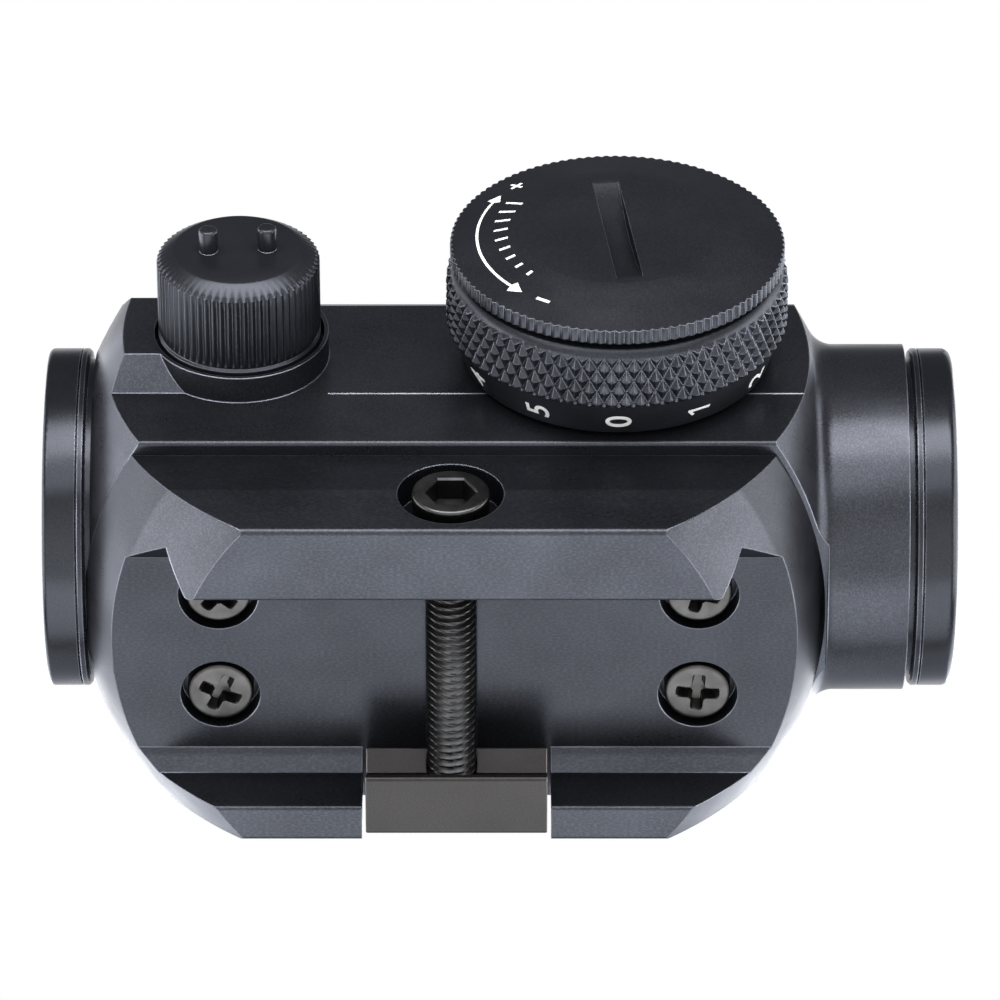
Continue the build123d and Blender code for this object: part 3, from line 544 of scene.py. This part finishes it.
# ---- turret caps ----
def make_cap(node, body, turn, centre, seat):
    """Turret cap: fluted band over a plain skirt, chamfered top and two round-nosed pegs."""
    flutes, columns = 64, 64 * 10
    angle = np.arange(columns) * 2 * math.pi / columns
    crest, neck, bore, depth = 6.55, 6.38, 5.15, 0.24
    wave = depth * (0.5 - 0.5 * np.cos(flutes * angle))
    foot, top = seat + 0.1, seat + 9.4
    rows = [(bore, foot + 0.7), (6.15, foot + 0.7), (6.15, foot), (6.42, foot), (crest, foot + 0.12),
            (crest, foot + 1.75), (neck, foot + 1.92), (neck, foot + 2.02)]
    for share in (0.0, 0.25, 0.6, 1.0):
        rows.append((neck + (crest - neck) * share - wave * share, foot + 2.05 + 0.3 * share))
    rows += [(crest - wave, height) for height in np.linspace(foot + 2.9, top - 0.95, 8)]
    for share in (0.25, 0.5, 0.75, 1.0):
        rows.append((crest - 0.4 * share - wave * (1 - share), top - 0.95 + 0.28 * share))
    rows += [(5.2, top - 0.06), (5.05, top), (3.0, top), (1.0, top)]
    rows = [(1.0, top - 1.5), (bore, top - 1.5)] + rows
    shells = [lathe(rows, columns, "poles")]
    lean, peg_circle = math.radians(4), 2.35
    for side in (-1, 1):
        peg, faces = lathe([(0.3, top - 0.3), (0.75, top - 0.3), (0.75, top + 1.75), (0.72, top + 1.86),
                            (0.64, top + 1.95), (0.52, top + 2.0), (0.2, top + 2.0)], 40, "poles")
        peg = peg + side * peg_circle * np.array([-math.sin(lean), math.cos(lean), 0])
        shells.append((peg, faces))
    vertices, faces = joined(*shells)
    mesh = make_mesh(node + "_cut", placed(vertices, turn, centre), faces)
    add_piece(node + "_cut", mesh, body, MATERIALS["cap_anodised"], (node,))


# ---- cross bolt and base screws ----
def make_bolt():
    """M4 bolt: the thread's radius falls by the depth with the distance from a helix, in threads."""
    pitch, depth, columns = 0.7, 0.38, 48
    thread_r, shank_r, head_r, edge, across = 2.0, 1.9, 3.1, 0.28, 3.5
    angle = np.arange(columns) * 2 * math.pi / columns
    start, end = -13.6, 10.2
    seat, top = 12.07, 14.85
    rows = [(1.4, start)]
    for height in np.arange(start + 0.02, end, pitch / 12):
        phase = height / pitch - angle / (2 * math.pi)
        away = np.abs(phase - np.round(phase)) * 2
        cut = np.clip(1.15 * away - 0.12, 0, 0.9)
        taper = min(1.45 + (height - start) * 1.2, thread_r)
        rows.append((np.minimum(thread_r - depth * cut, taper), height))
    rows += [(shank_r, end + 0.1), (shank_r, seat), (head_r - 0.2, seat), (head_r, seat + 0.15)]
    rows += [(head_r, height) for height in np.linspace(seat + 0.3, top - 0.35, 4)]
    rows += [(head_r - edge * (1 - math.cos(t)), top - edge + edge * math.sin(t)) for t in
             np.radians((0, 22, 45, 68, 90))]
    hexagon = across / 2 / np.cos((angle + math.pi / 6) % (math.pi / 3) - math.pi / 6)
    rows += [(hexagon + 0.16, top), (hexagon, top - 0.14), (hexagon, top - 1.9), (0.5, top - 2.1)]
    vertices, faces = lathe(rows, columns, "poles")
    mesh = make_mesh("cross_bolt_cut", placed(vertices, TO_X, (0, bolt_y, bolt_z)), faces)
    add_piece("cross_bolt_cut", mesh, "cross_bolt", MATERIALS["black_steel"], ("cross_bolt",))


def recess_depth(x, y):
    """Cross recess: full depth in two crossed bars with sloping walls, running out to nothing at the tips."""
    narrow = np.minimum(np.abs(x), np.abs(y))
    far = np.hypot(x, y)
    half_bar, half_span, pit_r, full_depth = 0.50, 1.75, 0.85, 1.1
    wall = np.clip((half_bar - narrow) / 0.16, 0, 1)
    pit = np.clip((pit_r - far) / 0.25, 0, 1)
    reach = np.clip((half_span - far) / 0.45, 0, 1)
    return np.maximum(wall * reach, pit) * full_depth


def make_base_screws():
    """Four cross-recess screws, heads down. The face is a polar height field, low where the recess is."""
    low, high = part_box("base_screws")
    columns, shells = 144, []
    angle = np.arange(columns) * 2 * math.pi / columns
    head_r, shank_r, edge, crown = 2.65, 1.5, 0.3, 0.06
    left, right = low[0] + head_r * MM, high[0] - head_r * MM
    rear, front = low[1] + head_r * MM, high[1] - head_r * MM
    places = [(left, rear, 25), (right, rear, 40), (left, front, 4), (right, front, 15)]
    top = -low[2] / MM
    for x, y, turn in places:
        rows = [(0.8, -6.3), (shank_r, -6.2), (shank_r, top - 1.8), (2.6, top - 1.8), (head_r, top - 1.7),
                (head_r, top - 0.35)]
        rows += [(head_r - edge * (1 - math.cos(t)), top - edge + edge * math.sin(t)) for t in
                 np.radians((0, 30, 60, 90))]
        for radius in np.linspace(2.2, 0.1, 36):
            spin = angle + math.radians(turn)
            depth = recess_depth(radius * np.cos(spin), radius * np.sin(spin))
            rows.append((radius, top + crown * (1 - (radius / (head_r - edge)) ** 2) - depth))
        vertices, faces = lathe(rows, columns, "poles")
        shells.append((placed(vertices, TO_DOWN, (x, y, 0)), faces))
    vertices, faces = joined(*shells)
    mesh = make_mesh("base_screws_cut", vertices, faces, 38)
    add_piece("base_screws_cut", mesh, "sight", MATERIALS["screw_steel"], ("base_screws",))


# ---- numerals and marks ----
def text_shape(words, size, step=0.2):
    """Flat text in millimetres, centred, with a little thickness, cut across at each step so it can bend."""
    curve = bpy.data.curves.new("words", "FONT")
    curve.body, curve.size, curve.extrude = words, size, MARK_STAND
    curve.align_x, curve.align_y = "CENTER", "CENTER"
    curve.offset = 0.03
    holder = bpy.data.objects.new("words", curve)
    scene.collection.objects.link(holder)
    mesh = bpy.data.meshes.new_from_object(holder.evaluated_get(bpy.context.evaluated_depsgraph_get()))
    bpy.data.objects.remove(holder)
    work = bmesh.new()
    work.from_mesh(mesh)
    for height in np.arange(-size / 2, size / 2, step):
        everything = work.verts[:] + work.edges[:] + work.faces[:]
        bmesh.ops.bisect_plane(work, geom=everything, plane_co=(0, height, 0), plane_no=(0, 1, 0))
    bmesh.ops.triangulate(work, faces=work.faces)
    work.to_mesh(mesh)
    work.free()
    points = np.empty(len(mesh.vertices) * 3)
    mesh.vertices.foreach_get("co", points)
    faces = [list(polygon.vertices) for polygon in mesh.polygons]
    points = points.reshape(-1, 3)
    points[:, :2] -= (points[:, :2].max(0) + points[:, :2].min(0)) / 2
    return points, faces


def bar(x0, y0, x1, y1, width):
    """Flat straight stroke between two points, with a little thickness, cut into short lengths."""
    along = np.linspace(0, 1, 12)
    path = np.stack([x0 + (x1 - x0) * along, y0 + (y1 - y0) * along], -1)
    return stroke(path, np.full(len(along), width))


def stroke(path, width):
    """Flat stroke of a varying width along a plane path, with a little thickness."""
    step = np.gradient(path, axis=0)
    side = np.stack([-step[:, 1], step[:, 0]], -1) / np.linalg.norm(step, axis=1)[:, None]
    left, right = path + side * width[:, None] / 2, path - side * width[:, None] / 2
    level = np.full((len(path), 1), MARK_STAND)
    grid = np.stack([np.hstack([left, level]), np.hstack([right, level]), np.hstack([right, -level]),
                     np.hstack([left, -level])], 1)
    return skin(grid, "poles")


def flagged_one(tall):
    """The number one of a height in millimetres: an upright with a short flag."""
    half = tall / 2
    return joined(bar(0.15, -half, 0.15, half, 0.26), bar(0.15, half - 0.1, -0.4, half - 0.55, 0.24))


def wrap_on_cone(points, turn, foot, top):
    """Lays flat points on a cone from foot to top, each (radius, height): x runs round it from an angle, y
    up it from its middle, and z stands off it."""
    (r_low, h_low), (r_high, h_high) = foot, top
    slope = np.array([r_high - r_low, h_high - h_low])
    length = np.linalg.norm(slope)
    along, out = slope / length, np.array([slope[1], -slope[0]]) / length
    share = 0.5 * length + points[:, 1]
    radius = r_low + along[0] * share + out[0] * points[:, 2]
    height = h_low + along[1] * share + out[1] * points[:, 2]
    angle = turn + points[:, 0] / (0.5 * (r_low + r_high))
    return np.stack([radius * np.cos(angle), radius * np.sin(angle), height], -1)


def make_numerals():
    """Numbers evenly round the dial's skirt, tops turned back along the circle."""
    labels = ["0", "1", "2", "3", "4", "5"] * 2
    shells = []
    for step, label in enumerate(labels):
        points, faces = text_shape(label, 2.9) if label != "1" else flagged_one(2.0)
        flat = np.stack([-points[:, 1], points[:, 0], points[:, 2] + MARK_STAND], -1)
        turn = 2 * math.pi * step / len(labels)
        shells.append((wrap_on_cone(flat, turn, SKIRT_FOOT, SKIRT_TOP), faces))
    vertices, faces = joined(*shells)
    mesh = make_mesh("dial_numerals", placed(vertices, TO_X, (0, dial_y, axis_z)), faces)
    add_piece("dial_numerals", mesh, "dial", MATERIALS["white_ink"])


def make_cover_marks():
    """Double arrow along the rim of the cover, with plus and minus at its ends and growing bars inside it."""
    from_angle, to_angle, radius, points = math.radians(146), math.radians(227), 11.25, 90
    line, head_width, head_points, tip = 0.22, 1.15, 7, 0.02
    bold, bar_circle = 0.26, 9.35
    turn = np.linspace(from_angle, to_angle, points)
    path = np.stack([radius * np.cos(turn), radius * np.sin(turn)], -1)
    width = np.full(points, line)
    width[:head_points] = np.linspace(tip, head_width, head_points)
    width[-head_points:] = np.linspace(head_width, tip, head_points)
    shells = [stroke(path, width)]
    for degrees, upright in ((136, True), (237.6, False)):
        mid = math.radians(degrees)
        out, side = np.array([math.cos(mid), math.sin(mid)]), np.array([-math.sin(mid), math.cos(mid)])
        centre, half = out * 11.2, 0.6
        shells.append(bar(*(centre - side * half), *(centre + side * half), bold))
        if upright:
            shells.append(bar(*(centre - out * half), *(centre + out * half), bold))
    for index, degrees in enumerate(np.linspace(152, 221, 9)):
        mid = math.radians(degrees)
        out = np.array([math.cos(mid), math.sin(mid)])
        half = (1.5 - 0.12 * index) / 2
        shells.append(bar(*(out * (bar_circle - half)), *(out * (bar_circle + half)), bold))
    vertices, faces = joined(*shells)
    reach = np.hypot(vertices[:, 0], vertices[:, 1])
    (flat_r, flat_height), (rim_r, rim_height) = COVER_FLAT, COVER_RIM
    rise = rim_height + (flat_height - rim_height) * (rim_r - reach) / (rim_r - flat_r)
    local = np.stack([-vertices[:, 1], vertices[:, 0], rise + vertices[:, 2] + MARK_STAND], -1)
    mesh = make_mesh("cover_marks", placed(local, TO_X, (0, dial_y, axis_z)), faces)
    add_piece("cover_marks", mesh, "battery_cover", MATERIALS["white_ink"])


make_camera()
make_floor()
make_light()
finish_cad_nodes()
slots = {part["node"]: part["material_slot"] for part in frame["record"]["subparts"]}
for cad_node, owner in (("housing", "sight"), ("rail_base", "sight"), ("front_ring", "sight"),
                        ("rear_ring", "sight"), ("clamp_block", "clamp")):
    refined(cad_node, owner, MATERIALS[slots[cad_node]])
make_dial()
make_battery_cap()
make_cap("windage_cap", "windage_cap", TO_X, (0, turret_y, axis_z), 16.4)
make_cap("elevation_cap", "elevation_cap", TO_Z, (0, turret_y, axis_z), 17.2)
make_bolt()
make_base_screws()
make_numerals()
make_cover_marks()
scene.view_settings.view_transform = "Standard"
